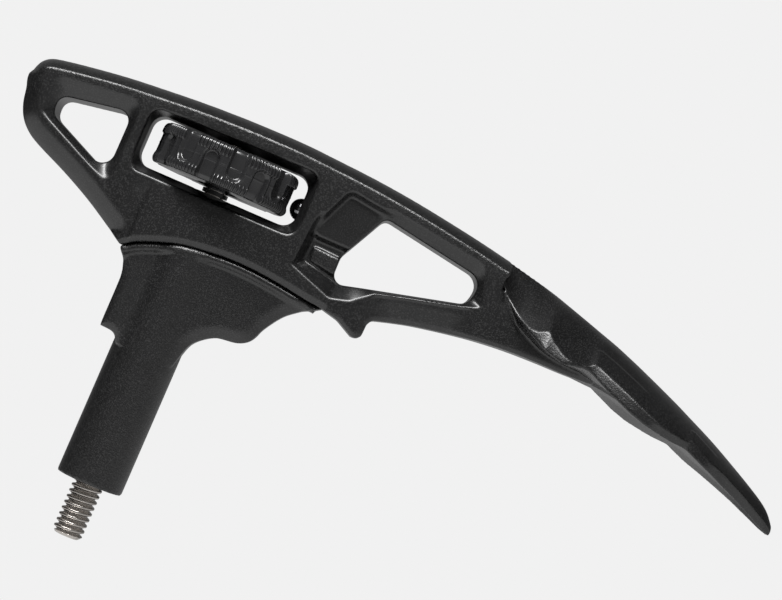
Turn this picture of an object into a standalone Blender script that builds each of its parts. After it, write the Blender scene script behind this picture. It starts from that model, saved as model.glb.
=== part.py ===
"""Screw-on ice axe head with a captive thumbwheel stud.

Row frame: the origin is the centre of the stud's tip, +Z runs up the stud's axis into the head,
+X points at the pick and the part is symmetric about Y = 0. Lengths below are millimetres and
MM turns them into Blender's metres.
"""
import math

import bmesh
import bpy
from mathutils import Matrix, Vector

MM = 0.001

# Screwed joint: a quarter-inch, 20 threads per inch stud under a round sleeve.
THREAD_MAJOR_R = 3.175
THREAD_MINOR_R = 2.50
THREAD_PITCH = 1.27
THREAD_SIDES = 20
THREAD_RINGS_PER_PITCH = 5
STUD_LENGTH = 11.7
STUD_TIP_R = 2.45
SLEEVE_R = 7.0
SLEEVE_END_Z = STUD_LENGTH
SLEEVE_TOP_Z = 66.0

# Head body.
HEAD_HALF_Y = 7.5
PLATE_HALF_Y = 5.2
GROOVE_HALF = 0.25
TONGUE_HEIGHT = 1.6
TONGUE_HALF_Y = 3.0
FIT_GAP = 0.3
CROWN = 2.6
BORE_GAP = 0.2

# Wheel window and what turns in it.
WINDOW_HALF_X = 17.2
WINDOW_FLOOR_Z = 75.2
WINDOW_ROOF_Z = 86.2
WINDOW_CORNER_R = 2.8
WHEEL_R = 14.8
WHEEL_BOTTOM_Z = 76.95
WHEEL_TOP_Z = 85.45
WHEEL_SLOTS = 16
SLOT_HALF_WIDTH = 1.75
SLOT_DEPTH = 0.55
SLOT_REACH = 6.5
SHANK_R = 2.75
JOURNAL_R = 2.1
PIVOT_R = 1.8
HEX_ACROSS_FLATS = 3.8
INSERT_R = 4.3
TUBE_R = 4.1
TUBE_BORE_R = 3.1
TUBE_BOTTOM_Z = 16.4
TUBE_TOP_Z = 71.0
BUSH_BOTTOM_Z = 71.4
BUSH_R = 4.6
SLEEVE_BUSH_R = 5.0
PIVOT_BUSH_R = 3.0
PIVOT_TOP_Z = 89.95
RING_R = 3.3
RING_LOW_Z, RING_HIGH_Z = 84.05, 84.6
RING_OPENING_DEG = 40

# Detent beside the wheel.
DETENT_Z = 79.8
BALL_R = 2.4
BALL_X = 17.5
DETENT_BORE_R = 2.7
SCREW_R = 2.5
DETENT_BORE_END_X = 34.0
SPRING_START_X = 21.0
SPRING_END_X = 25.4
SPRING_TURNS = 5
SPRING_R = 1.8
SPRING_WIRE_R = 0.32
SCREW_START_X = 25.9
SCREW_END_X = 29.4

# Dowels across the groove: x, lower end, upper end.
DOWEL_R = 1.1
DOWELS = {"dowel_left": (-9.0, 57.0, 64.6), "dowel_right": (14.6, 60.0, 68.2)}

# Parting line between head and adapter, tail side to pick side.
GROOVE = [(-13.1, 58.5), (-9.7, 60.6), (-3.8, 62.8), (0.4, 63.7), (7.2, 64.5), (13.0, 64.5),
          (18.9, 64.0), (23.4, 63.4), (26.5, 63.0), (29.4, 62.75)]

# Upper silhouette from the tail butt to the neck of the pick.
HEAD_TOP = [(-43.5, 85.4), (-42.8, 86.7), (-41.4, 87.8), (-39.0, 88.5), (-32.5, 89.6), (-25.2, 90.6),
            (-17.7, 91.3), (-10.2, 91.9), (-2.6, 92.3), (5.2, 92.5), (13.0, 92.5),
            (21.0, 92.1), (29.0, 91.6), (37.2, 90.8), (45.4, 89.7), (53.8, 88.4), (61.0, 87.1)]
# Lower silhouette of the beam, neck side to fang.
BEAM_BOTTOM = [(61.0, 69.3), (57.0, 68.7), (52.0, 67.8), (47.1, 66.8), (43.0, 65.7),
               (39.7, 64.7), (39.0, 63.6), (38.9, 60.9), (38.2, 60.1), (37.0, 60.0),
               (33.1, 62.0)]
# Tail side from the groove up to the butt.
TAIL_EDGE = [(-16.4, 60.6), (-22.6, 64.2), (-29.3, 67.5), (-36.5, 70.6), (-39.5, 72.4),
             (-41.5, 74.6), (-42.7, 77.3), (-43.3, 80.2), (-43.9, 82.2), (-43.9, 84.0)]

# Crown and lower-edge rounding: y in mm and the share of each point's inset.
BODY_LAYERS = [(HEAD_HALF_Y, 1.0), (6.75, 0.40), (5.3, 0.10), (2.6, 0.0)]

# Corners of the openings: x, z, corner radius.
TAIL_WINDOW = [(-36.2, 81.5, 2.2), (-36.0, 77.4, 2.2), (-21.4, 70.7, 2.6), (-21.4, 84.1, 2.3)]
MAIN_WINDOW = [(34.1, 84.8, 1.6), (28.8, 74.2, 2.5), (28.9, 68.3, 2.0), (56.0, 75.3, 2.6),
               (57.2, 81.1, 3.0)]
# Deep recess on the tail side of the main window: upper field, middle step and lower slot.
RECESS_UPPER = [(25.6, 87.2, 2.4), (20.8, 78.0, 4.0), (20.6, 73.9, 0.3), (30.0, 73.9, 0.3),
                (34.8, 83.2, 1.0), (33.8, 85.2, 1.5)]
RECESS_STEP = [(22.4, 74.1, 0.2), (22.4, 70.1, 0.2), (30.0, 70.1, 0.2), (30.0, 74.1, 0.2)]
RECESS_LOWER = [(20.6, 74.2, 0.3), (20.5, 68.7, 0.6), (29.6, 66.3, 1.0), (33.0, 68.0, 0.5),
                (30.0, 70.3, 0.3), (22.6, 70.3, 0.3), (22.6, 74.2, 0.2)]
RECESS_FLOOR_Y = 4.2
RECESS_STEP_Y = 5.2

# Adapter outline below the groove: right side downwards, then the key flange upwards.
WING = [(25.9, 60.8), (22.8, 58.2), (20.2, 54.3), (19.4, 52.3), (18.3, 50.7), (16.3, 49.6),
        (13.5, 49.2), (11.8, 48.8), (9.7, 47.5), (7.8, 45.5), (6.8, 42.5), (6.2, 40.0)]
FLANGE = [(-6.2, 40.0), (-7.2, 41.6), (-8.6, 42.0), (-10.1, 42.1), (-10.5, 42.8),
          (-10.55, 50.0), (-10.7, 53.5), (-11.5, 56.2)]

# Pick stations. Columns: x, spine z, half width at the shoulder, shoulder z, how far the rim leans
# out below the shoulder, rim z, underside z beside the keel, keel half width, keel z, arch power.
PICK = [
    (57.0, 87.8, 7.3, 85.5, 0.0, 83.4, 77.0, 5.0, 71.5, 2.0),
    (61.3, 87.0, 6.6, 82.6, 0.0, 82.2, 76.5, 5.0, 71.0, 1.1),
    (62.4, 86.85, 6.9, 80.6, 0.0, 80.2, 76.2, 5.0, 70.8, 1.0),
    (64.0, 86.5, 7.3, 79.2, 0.0, 78.7, 76.0, 5.0, 70.6, 1.0),
    (66.5, 85.95, 9.0, 77.1, 0.0, 76.6, 75.4, 5.0, 70.4, 1.1),
    (69.0, 85.4, 11.8, 75.7, 0.1, 75.0, 74.6, 5.0, 70.2, 1.25),
    (71.0, 84.9, 13.1, 76.2, 0.6, 74.0, 73.8, 5.0, 70.2, 1.4),
    (73.0, 84.4, 13.7, 76.8, 1.3, 73.0, 73.0, 5.0, 70.2, 1.6),
    (75.0, 83.8, 14.2, 75.4, 1.0, 72.3, 72.6, 5.0, 70.2, 1.6),
    (77.5, 83.1, 14.9, 73.2, 0.3, 71.6, 72.2, 4.8, 70.2, 1.5),
    (79.5, 82.5, 15.0, 72.7, 0.0, 71.9, 72.0, 4.7, 70.2, 1.45),
    (81.8, 81.85, 14.2, 73.0, -0.2, 72.4, 72.0, 4.4, 70.15, 1.5),
    (83.3, 81.35, 14.0, 73.2, -0.2, 72.4, 71.8, 4.2, 70.05, 1.7),
    (83.9, 81.15, 13.3, 74.5, 0.5, 72.2, 71.6, 4.1, 70.0, 1.9),
    (88.0, 79.95, 14.2, 72.9, 0.5, 70.3, 71.0, 3.6, 69.9, 2.0),
    (94.0, 77.8, 15.2, 70.7, 0.4, 67.9, 69.8, 2.8, 69.2, 2.0),
    (97.5, 76.45, 15.4, 69.3, 0.1, 66.9, 69.0, 2.3, 68.3, 2.0),
    (100.0, 75.5, 15.6, 68.3, -0.8, 66.5, 68.3, 2.0, 67.8, 1.9),
    (102.5, 74.5, 15.3, 67.8, -1.2, 66.1, 67.8, 1.8, 67.5, 1.9),
    (105.0, 73.5, 14.6, 67.5, -1.2, 65.9, 67.2, 1.6, 67.1, 1.9),
    (107.3, 72.45, 13.6, 67.3, -0.9, 65.8, 66.9, 1.5, 66.8, 1.9),
    (107.9, 72.2, 13.2, 68.1, 0.3, 65.5, 66.7, 1.5, 66.6, 2.0),
    (112.0, 70.45, 12.9, 66.1, 0.2, 63.9, 65.3, 1.4, 65.2, 2.0),
    (114.4, 69.35, 12.0, 65.1, -0.6, 63.1, 64.5, 1.3, 64.4, 2.0),
    (117.0, 68.1, 10.4, 64.3, -1.4, 62.2, 63.5, 1.2, 63.4, 1.9),
    (122.5, 65.35, 7.4, 62.1, -1.6, 60.2, 61.3, 1.0, 61.2, 1.8),
    (127.0, 62.95, 5.0, 60.0, -1.4, 58.3, 59.4, 0.8, 59.3, 1.8),
    (130.0, 61.0, 3.2, 58.6, -0.9, 57.0, 57.9, 0.5, 57.8, 1.8),
    (132.0, 58.2, 1.4, 57.3, -0.3, 56.4, 56.7, 0.3, 56.6, 2.0),
]
# Raised pads on the pick: first and last x, how proud they stand and where they start across.
PADS = [(83.6, 96.0), (107.5, 114.0)]
PAD_LIFT = 0.35
PAD_FROM = 0.7
ARCH_STEPS = (0.22, 0.42, 0.58, 0.69, 0.71, 0.86, 1.0)
RIM_BEVEL = 0.35



def clear_scene():
    """Remove every object that the file opens with."""
    for obj in list(bpy.data.objects):
        bpy.data.objects.remove(obj, do_unlink=True)


def collection(name):
    """Make a collection under the scene's own."""
    made = bpy.data.collections.new(name)
    bpy.context.scene.collection.children.link(made)
    return made


def material(name, colour, roughness, metallic=0.0):
    """Plain Principled material."""
    made = bpy.data.materials.new(name)
    made.use_nodes = True
    shader = made.node_tree.nodes["Principled BSDF"]
    shader.inputs["Base Color"].default_value = (*colour, 1.0)
    shader.inputs["Roughness"].default_value = roughness
    shader.inputs["Metallic"].default_value = metallic
    return made


def add_object(name, mesh, home, look=None):
    """Link a mesh as an object, with its material or as a hidden cutter."""
    obj = bpy.data.objects.new(name, mesh)
    home.objects.link(obj)
    if look is None:
        obj.hide_render = True
        obj.display_type = "WIRE"
    else:
        mesh.materials.append(look)
        mesh.shade_smooth()
        mesh.set_sharp_from_angle(angle=math.radians(30))
    return obj


def mesh_from(name, bm):
    """Close a bmesh into a mesh whose faces point out."""
    bmesh.ops.recalc_face_normals(bm, faces=bm.faces)
    mesh = bpy.data.meshes.new(name)
    bm.to_mesh(mesh)
    bm.free()
    return mesh


def boolean(target, tool, operation="DIFFERENCE"):
    """Cut or join a target with another closed object."""
    modifier = target.modifiers.new(tool.name, "BOOLEAN")
    modifier.operation = operation
    modifier.solver = "EXACT"
    modifier.object = tool


def rounded(corners, steps=5):
    """Outline of a polygon of (x, z, radius) corners with an arc at each corner."""
    outline = []
    for index, (x, z, radius) in enumerate(corners):
        here = Vector((x, z))
        back = (Vector(corners[index - 1][:2]) - here).normalized()
        ahead = (Vector(corners[(index + 1) % len(corners)][:2]) - here).normalized()
        half = back.angle(ahead) / 2
        centre = here + (back + ahead).normalized() * (radius / math.sin(half))
        start = here + back * (radius / math.tan(half)) - centre
        turn = start.angle_signed(here + ahead * (radius / math.tan(half)) - centre)
        for step in range(steps + 1):
            arm = start.copy()
            arm.rotate(Matrix.Rotation(-turn * step / steps, 2))
            outline.append((centre.x + arm.x, centre.y + arm.y))
    return outline


def signed_area(outline):
    """Shoelace area, positive where the outline runs anticlockwise in x, z."""
    pairs = zip(outline, outline[1:] + outline[:1])
    return sum(a[0] * b[1] - b[0] * a[1] for a, b in pairs) / 2


def offset(outline, distances):
    """Move each point inwards by its own distance."""
    side = 1 if signed_area(outline) > 0 else -1
    moved = []
    for index, point in enumerate(outline):
        here = Vector(point)
        into = (here - Vector(outline[index - 1])).normalized()
        away = (Vector(outline[(index + 1) % len(outline)]) - here).normalized()
        normal_in = Vector((-into.y, into.x)) * side
        normal_out = Vector((-away.y, away.x)) * side
        miter = (normal_in + normal_out) / max(0.35, 1 + normal_in.dot(normal_out))
        spot = here + miter * distances[index]
        moved.append((spot.x, spot.y))
    return moved


def loft(name, rings):
    """Closed mesh through rings of points in mm, each ring a closed loop."""
    bm = bmesh.new()
    loops = [[bm.verts.new(Vector(point) * MM) for point in ring] for ring in rings]
    for lower, upper in zip(loops, loops[1:]):
        for index in range(len(lower)):
            after = (index + 1) % len(lower)
            bm.faces.new((lower[index], lower[after], upper[after], upper[index]))
    bm.faces.new(loops[0])
    bm.faces.new(loops[-1])
    return mesh_from(name, bm)


def layered(name, outline, insets, layers):
    """Solid symmetric about Y = 0 from an outline inset by a share at each half layer."""
    both = [(-y, share) for y, share in layers] + [(y, share) for y, share in reversed(layers)]
    rings = []
    for y, share in both:
        ring = offset(outline, [share * inset for inset in insets])
        rings.append([(x, y, z) for x, z in ring])
    return loft(name, rings)


def prism(name, outline, low_y, high_y):
    """Straight extrusion of an outline between two y planes."""
    return loft(name, [[(x, y, z) for x, z in outline] for y in (low_y, high_y)])


def rod_mesh(name, radius, start, end, sides=32):
    """Straight cylinder between two points in mm."""
    start, end = Vector(start), Vector(end)
    run = end - start
    bm = bmesh.new()
    bmesh.ops.create_cone(bm, cap_ends=True, segments=sides, radius1=radius * MM,
                          radius2=radius * MM, depth=run.length * MM)
    turn = Vector((0, 0, 1)).rotation_difference(run).to_matrix().to_4x4()
    place = Matrix.Translation((start + end) / 2 * MM) @ turn
    bmesh.ops.transform(bm, matrix=place, verts=bm.verts)
    return mesh_from(name, bm)


def turned(name, profile, home, look, closed=False, steps=40):
    """Turned piece about Z: the profile runs down its outer side."""
    mesh = bpy.data.meshes.new(name)
    points = [(radius * MM, 0, z * MM) for radius, z in profile]
    edges = [(index, index + 1) for index in range(len(points) - 1)]
    if closed:
        edges.append((len(points) - 1, 0))
    mesh.from_pydata(points, edges, [])
    obj = add_object(name, mesh, home, look)
    screw = obj.modifiers.new("turn", "SCREW")
    screw.axis = "Z"
    screw.steps = screw.render_steps = steps
    screw.use_merge_vertices = True
    screw.merge_threshold = 0.00001
    return obj


def tube_profile(outer, inner, low, high):
    """Closed profile of a plain tube, outer side first and downwards."""
    return [(outer, high), (outer, low), (inner, low), (inner, high)]


def tongue(name, low, high, half, reach):
    """Rib along the groove between two heights above it, reaching past the groove's inner run."""
    run = list(GROOVE[1:-1])
    run[0] = (run[0][0] - reach, run[0][1])
    run[-1] = (run[-1][0] + reach, run[-1][1])
    outline = [(x, z + low) for x, z in run] + [(x, z + high) for x, z in reversed(run)]
    return prism(name, outline, -half, half)


def head_outline():
    """Outline of the head's slab with an inset for each point's edge rounding."""
    groove = [(x, z + GROOVE_HALF) for x, z in GROOVE]
    bottom = list(reversed(BEAM_BOTTOM))
    run = ([(p, 0.35) for p in groove]
           + [(p, 0.35) for p in bottom[:6]]
           + [(p, 2.2) for p in bottom[6:]]
           + [(p, CROWN) for p in reversed(HEAD_TOP)]
           + [(p, CROWN) for p in reversed(TAIL_EDGE)])
    return [p for p, _ in run], [inset for _, inset in run]


def pick_ring(station):
    """Closed cross section of the pick at one station."""
    x, spine, half, shoulder, lean, rim, under, keel_half, keel, power = station
    lift = PAD_LIFT if any(first <= x <= last for first, last in PADS) else 0.0
    side = [(0.0, spine)]
    for share in ARCH_STEPS:
        drop = (spine - shoulder + lift) * share ** power
        side.append((half * share, spine - drop + (lift if share > PAD_FROM else 0.0)))
    inner = half + lean - 2 * RIM_BEVEL
    under = max(under, keel + 0.15)
    side += [(half + lean * 0.9, rim + RIM_BEVEL), (half + lean, rim), (inner, rim + 0.1),
             (inner * 0.55 + keel_half * 0.45, rim * 0.35 + under * 0.65),
             (keel_half, under - 0.1),
             (keel_half * 0.8, keel + min(0.8, (under - keel) * 0.4))]
    mirrored = [(-y, z) for y, z in reversed(side[1:])]
    loop = side + [(0.0, keel)] + mirrored
    return [(x, y, z) for y, z in loop]


def window_cutter(name, corners, layers):
    """Cutter that flares outwards: layers hold y and the outward offset."""
    outline = rounded(corners)
    rings = []
    for y, grow in [(-y, g) for y, g in layers] + [(y, g) for y, g in reversed(layers)]:
        ring = offset(outline, [-grow] * len(outline))
        rings.append([(x, y, z) for x, z in ring])
    return loft(name, rings)


def head_frame(home, cutters, look):
    """Moulded head: slab, pick, three windows, recess and bores."""
    outline, insets = head_outline()
    head = add_object("head_frame", layered("head_frame", outline, insets, BODY_LAYERS), home, look)
    pick = add_object("pick_body", loft("pick_body", [pick_ring(s) for s in PICK]), cutters)
    boolean(head, pick, "UNION")
    window = [(-WINDOW_HALF_X, WINDOW_ROOF_Z, WINDOW_CORNER_R),
              (-WINDOW_HALF_X, WINDOW_FLOOR_Z, WINDOW_CORNER_R),
              (WINDOW_HALF_X, WINDOW_FLOOR_Z, WINDOW_CORNER_R),
              (WINDOW_HALF_X, WINDOW_ROOF_Z, WINDOW_CORNER_R)]
    cuts = [
        window_cutter("cut_wheel_window", window, [(9.0, 1.9), (7.5, 1.3), (6.6, 0.4), (5.6, 0.0)]),
        window_cutter("cut_tail_window", TAIL_WINDOW, [(9.0, 2.7), (7.5, 2.3), (6.4, 1.6), (5.0, 0.0)]),
        window_cutter("cut_main_window", MAIN_WINDOW, [(9.0, 2.5), (7.5, 2.1), (6.3, 1.4), (5.0, 0.0)]),
    ]
    for hand, sign in (("near", -1), ("far", 1)):
        for part, corners, floor in (("upper", RECESS_UPPER, RECESS_FLOOR_Y),
                                     ("lower", RECESS_LOWER, RECESS_FLOOR_Y),
                                     ("step", RECESS_STEP, RECESS_STEP_Y)):
            ends = sorted((sign * floor, sign * 9.0))
            cuts.append(prism(f"cut_recess_{part}_{hand}", rounded(corners, 3), *ends))
    cuts += [
        tongue("cut_tongue", -1.0, TONGUE_HEIGHT + FIT_GAP, TONGUE_HALF_Y + FIT_GAP, FIT_GAP),
        rod_mesh("cut_rod", TUBE_BORE_R, (0, 0, 60.0), (0, 0, 77.0)),
        rod_mesh("cut_tube", TUBE_R + BORE_GAP, (0, 0, 60.0), (0, 0, BUSH_BOTTOM_Z - BORE_GAP)),
        rod_mesh("cut_bush", BUSH_R + BORE_GAP, (0, 0, BUSH_BOTTOM_Z), (0, 0, 77.0)),
        rod_mesh("cut_pivot", PIVOT_BUSH_R + BORE_GAP, (0, 0, 85.0), (0, 0, PIVOT_TOP_Z + 0.25)),
        rod_mesh("cut_detent", DETENT_BORE_R, (15.0, 0, DETENT_Z), (DETENT_BORE_END_X, 0, DETENT_Z)),
    ]
    for name, (x, low, high) in DOWELS.items():
        cuts.append(rod_mesh(f"cut_{name}_head", DOWEL_R + BORE_GAP, (x, 0, low), (x, 0, high + 0.3), 20))
    for mesh in cuts:
        boolean(head, add_object(mesh.name, mesh, cutters))
    return head


def pole_adapter(home, cutters, look):
    """Moulded sleeve that grows into a plate under the head."""
    groove = [(x, z - GROOVE_HALF) for x, z in GROOVE]
    outline = groove + WING + FLANGE
    insets = [0.3] * len(groove) + [1.1] * len(WING) + [0.7] * len(FLANGE)
    layers = [(PLATE_HALF_Y, 1.0), (PLATE_HALF_Y - 0.5, 0.4), (PLATE_HALF_Y - 1.5, 0.0)]
    adapter = add_object("pole_adapter", layered("pole_adapter", outline, insets, layers), home, look)
    sleeve = rod_mesh("sleeve_body", SLEEVE_R, (0, 0, SLEEVE_END_Z), (0, 0, SLEEVE_TOP_Z), 56)
    boolean(adapter, add_object("sleeve_body", sleeve, cutters), "UNION")
    above = groove + [(40.0, 62.0), (40.0, 80.0), (-25.0, 80.0), (-25.0, 56.0)]
    boolean(adapter, add_object("cut_above_groove", prism("cut_above_groove", above, -9.0, 9.0), cutters))
    rib = tongue("tongue_body", -1.5, TONGUE_HEIGHT, TONGUE_HALF_Y, 0.0)
    boolean(adapter, add_object("tongue_body", rib, cutters), "UNION")
    cuts = [
        rod_mesh("cut_adapter_tube", TUBE_R + BORE_GAP, (0, 0, TUBE_BOTTOM_Z - BORE_GAP), (0, 0, 70.0)),
        rod_mesh("cut_sleeve_bush", SLEEVE_BUSH_R + BORE_GAP, (0, 0, 10.0),
                 (0, 0, TUBE_BOTTOM_Z - BORE_GAP)),
    ]
    for name, (x, low, high) in DOWELS.items():
        cuts.append(rod_mesh(f"cut_{name}_adapter", DOWEL_R + BORE_GAP, (x, 0, low - 0.3), (x, 0, high), 20))
    for mesh in cuts:
        boolean(adapter, add_object(mesh.name, mesh, cutters))
    return adapter


def thread_mesh(name):
    """Helical thread as a grid whose radius follows the thread form."""
    rings = []
    count = round(STUD_LENGTH / THREAD_PITCH * THREAD_RINGS_PER_PITCH)
    for level in range(count + 1):
        z = STUD_LENGTH * level / count
        tip_limit = STUD_TIP_R + z * 0.8
        ring = []
        for side in range(THREAD_SIDES):
            angle = 2 * math.pi * side / THREAD_SIDES
            phase = (z / THREAD_PITCH - side / THREAD_SIDES) % 1.0
            height = min(1.0, max(0.0, 1.35 - 3.0 * abs(phase - 0.5)))
            radius = min(THREAD_MINOR_R + (THREAD_MAJOR_R - THREAD_MINOR_R) * height, tip_limit)
            ring.append((radius * math.cos(angle), radius * math.sin(angle), z))
        rings.append(ring)
    return loft(name, rings)


def drive_rod(home, cutters, look, spin):
    """Rod with the stud, relief, shank, hexagon, clip groove and upper journal."""
    profile = [(0, 89.2), (PIVOT_R - 0.3, 89.2), (PIVOT_R, 88.9), (PIVOT_R, 84.75), (1.6, 84.75),
               (1.6, 83.95), (1.8, 83.95), (1.8, 77.0), (JOURNAL_R, 77.0), (JOURNAL_R, 73.9),
               (SHANK_R, 73.7), (SHANK_R, 13.4), (2.4, 12.6), (2.4, 11.5), (0, 11.5)]
    rod = turned("drive_rod", profile, home, look)
    thread = add_object("stud_thread", thread_mesh("stud_thread"), cutters)
    boolean(rod, thread, "UNION")
    corner = HEX_ACROSS_FLATS / math.sqrt(3)
    hexagon = rod_mesh("hexagon", corner, (0, 0, 77.3), (0, 0, 83.75), 6)
    boolean(rod, add_object("hexagon", hexagon, cutters), "UNION")
    rod.parent = spin
    return rod


def thumbwheel(home, cutters, look, spin):
    """Grip wheel with round-ended slots from both rims."""
    low, high, edge = WHEEL_BOTTOM_Z, WHEEL_TOP_Z, 0.9
    profile = [(4.6, high - 1.6), (4.6, high - 0.01), (WHEEL_R - edge, high),
               (WHEEL_R - edge * 0.3, high - edge * 0.3), (WHEEL_R, high - edge),
               (WHEEL_R, low + edge), (WHEEL_R - edge * 0.3, low + edge * 0.3),
               (WHEEL_R - edge, low), (4.6, low)]
    wheel = turned("thumbwheel", profile, home, look, closed=True, steps=64)
    bm = bmesh.new()
    for number in range(WHEEL_SLOTS):
        from_top = number % 2 == 0
        angle = 2 * math.pi * (number + 0.5) / WHEEL_SLOTS
        add_slot(bm, angle, from_top)
    boolean(wheel, add_object("cut_slots", mesh_from("cut_slots", bm), cutters))
    wheel.parent = spin
    return wheel


def add_slot(bm, angle, from_top):
    """One round-ended slot body on the rim of the wheel."""
    rim_z, inward = (WHEEL_TOP_Z, -1) if from_top else (WHEEL_BOTTOM_Z, 1)
    centre_z = rim_z + inward * (SLOT_REACH - SLOT_HALF_WIDTH)
    outline = [(-SLOT_HALF_WIDTH, rim_z - inward * 1.0)]
    for step in range(9):
        swing = math.pi * step / 8
        outline.append((-SLOT_HALF_WIDTH * math.cos(swing),
                        centre_z + inward * SLOT_HALF_WIDTH * math.sin(swing)))
    outline.append((SLOT_HALF_WIDTH, rim_z - inward * 1.0))
    turn = Matrix.Rotation(angle, 3, "Z")
    rings = []
    for reach in (WHEEL_R - SLOT_DEPTH, WHEEL_R + 1.0):
        rings.append([bm.verts.new(turn @ Vector((reach, side, z)) * MM) for side, z in outline])
    for index in range(len(outline)):
        after = (index + 1) % len(outline)
        bm.faces.new((rings[0][index], rings[0][after], rings[1][after], rings[1][index]))
    bm.faces.new(rings[0])
    bm.faces.new(rings[1])


def wheel_insert(home, cutters, look, spin):
    """Steel insert with a hexagonal bore and a boss under the wheel."""
    profile = [(INSERT_R, 83.6), (INSERT_R, 77.2), (2.95, 77.2), (2.95, 76.45), (2.35, 76.45),
               (2.35, 77.0), (1.5, 77.0), (1.5, 83.6)]
    insert = turned("wheel_insert", profile, home, look, closed=True, steps=36)
    corner = (HEX_ACROSS_FLATS + 0.3) / math.sqrt(3)
    bore = rod_mesh("cut_insert_hexagon", corner, (0, 0, 76.0), (0, 0, 84.5), 6)
    boolean(insert, add_object("cut_insert_hexagon", bore, cutters))
    insert.parent = spin
    return insert


def retaining_ring(home, look, spin):
    """Open clip in the rod's groove over the insert."""
    bm = bmesh.new()
    sides, gap = 28, math.radians(RING_OPENING_DEG)
    rings = []
    for step in range(sides + 1):
        angle = gap / 2 + (2 * math.pi - gap) * step / sides
        turn = Matrix.Rotation(angle, 3, "Z")
        loop = [(PIVOT_R, 0, RING_LOW_Z), (RING_R, 0, RING_LOW_Z), (RING_R, 0, RING_HIGH_Z),
                (PIVOT_R, 0, RING_HIGH_Z)]
        rings.append([bm.verts.new(turn @ Vector(point) * MM) for point in loop])
    for first, second in zip(rings, rings[1:]):
        for index in range(4):
            after = (index + 1) % 4
            bm.faces.new((first[index], first[after], second[after], second[index]))
    bm.faces.new(rings[0])
    bm.faces.new(rings[-1])
    ring = add_object("retaining_ring", mesh_from("retaining_ring", bm), home, look)
    ring.parent = spin
    return ring


def detent(home, looks, slide):
    """Ball, coil spring and closing screw in the bore beside the wheel."""
    bm = bmesh.new()
    bmesh.ops.create_uvsphere(bm, u_segments=24, v_segments=14, radius=BALL_R * MM)
    ball = add_object("detent_ball", mesh_from("detent_ball", bm), home, looks["steel"])
    ball.parent = slide

    curve = bpy.data.curves.new("detent_spring", "CURVE")
    curve.dimensions = "3D"
    curve.bevel_depth = SPRING_WIRE_R * MM
    curve.bevel_resolution = 2
    curve.use_fill_caps = True
    spline = curve.splines.new("POLY")
    count = SPRING_TURNS * 14
    spline.points.add(count)
    run = SPRING_END_X - SPRING_START_X
    for step in range(count + 1):
        share = step / count
        angle = 2 * math.pi * SPRING_TURNS * share
        spline.points[step].co = ((SPRING_START_X + run * share) * MM,
                                  SPRING_R * math.cos(angle) * MM,
                                  (DETENT_Z + SPRING_R * math.sin(angle)) * MM, 1)
    curve.materials.append(looks["spring"])
    spring = bpy.data.objects.new("detent_spring", curve)
    home.objects.link(spring)


def detent_screw(home, cutters, look):
    """Grub screw with a hexagon socket that closes the detent bore."""
    mesh = rod_mesh("detent_screw", SCREW_R, (SCREW_START_X, 0, DETENT_Z), (SCREW_END_X, 0, DETENT_Z), 28)
    screw = add_object("detent_screw", mesh, home, look)
    socket = rod_mesh("cut_socket", 1.45, (SCREW_END_X - 2.0, 0, DETENT_Z),
                      (SCREW_END_X + 1.0, 0, DETENT_Z), 6)
    boolean(screw, add_object("cut_socket", socket, cutters))


def empty(name, home, place):
    """Marker on a joint's axis that the moving pieces hang from."""
    marker = bpy.data.objects.new(name, None)
    marker.empty_display_size = 0.01
    marker.location = Vector(place) * MM
    home.objects.link(marker)
    return marker


def build():
    """Make every piece of the head."""
    clear_scene()
    home = collection("ice_axe_head")
    cutters = collection("cutters")
    looks = {
        "nylon": material("black_nylon", (0.018, 0.018, 0.019), 0.5),
        "wheel": material("wheel_nylon", (0.012, 0.012, 0.013), 0.3),
        "stainless": material("stainless", (0.56, 0.53, 0.49), 0.28, 1.0),
        "steel": material("dark_steel", (0.20, 0.20, 0.21), 0.2, 1.0),
        "spring": material("spring_steel", (0.45, 0.45, 0.46), 0.3, 1.0),
        "bush": material("bush_acetal", (0.015, 0.015, 0.015), 0.35),
    }
    spin = empty("wheel_spin", home, (0, 0, 0))
    slide = empty("detent_slide", home, (BALL_X, 0, DETENT_Z))

    head_frame(home, cutters, looks["nylon"])
    pole_adapter(home, cutters, looks["nylon"])
    drive_rod(home, cutters, looks["stainless"], spin)
    thumbwheel(home, cutters, looks["wheel"], spin)
    wheel_insert(home, cutters, looks["steel"], spin)
    retaining_ring(home, looks["spring"], spin)
    spacer = turned("spacer", tube_profile(SHANK_R, 2.3, 75.45, 76.3), home, looks["bush"], True, 36)
    spacer.parent = spin

    turned("core_tube", tube_profile(TUBE_R, TUBE_BORE_R, TUBE_BOTTOM_Z, TUBE_TOP_Z), home,
           looks["steel"], True, 32)
    upper = [(BUSH_R, 75.15), (BUSH_R, 71.6), (3.0, 71.6), (3.0, 74.2), (2.35, 74.2), (2.35, 75.15)]
    turned("upper_bush", upper, home, looks["bush"], True, 36)
    turned("sleeve_bush", tube_profile(SLEEVE_BUSH_R, 3.0, 12.0, 16.0), home, looks["bush"], True, 36)
    pivot = [(0, PIVOT_TOP_Z), (PIVOT_BUSH_R, PIVOT_TOP_Z), (PIVOT_BUSH_R, 86.4), (2.05, 86.4),
             (2.05, PIVOT_TOP_Z - 0.5), (0, PIVOT_TOP_Z - 0.5)]
    turned("pivot_bush", pivot, home, looks["bush"], False, 32)
    detent(home, looks, slide)
    detent_screw(home, cutters, looks["steel"])
    for name, (x, low, high) in DOWELS.items():
        add_object(name, rod_mesh(name, DOWEL_R, (x, 0, low), (x, 0, high), 20), home, looks["steel"])


build()
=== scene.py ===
"""Looks of the screw-on ice axe head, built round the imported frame.

Row frame: metres, origin at the stud's tip, +Z up the stud's axis, +X towards the pick, the
part symmetric about Y = 0. Outlines are in millimetres and MM turns them into metres.
"""
import math

import bmesh
import bpy
import numpy as np
from mathutils import Matrix, Vector


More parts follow.
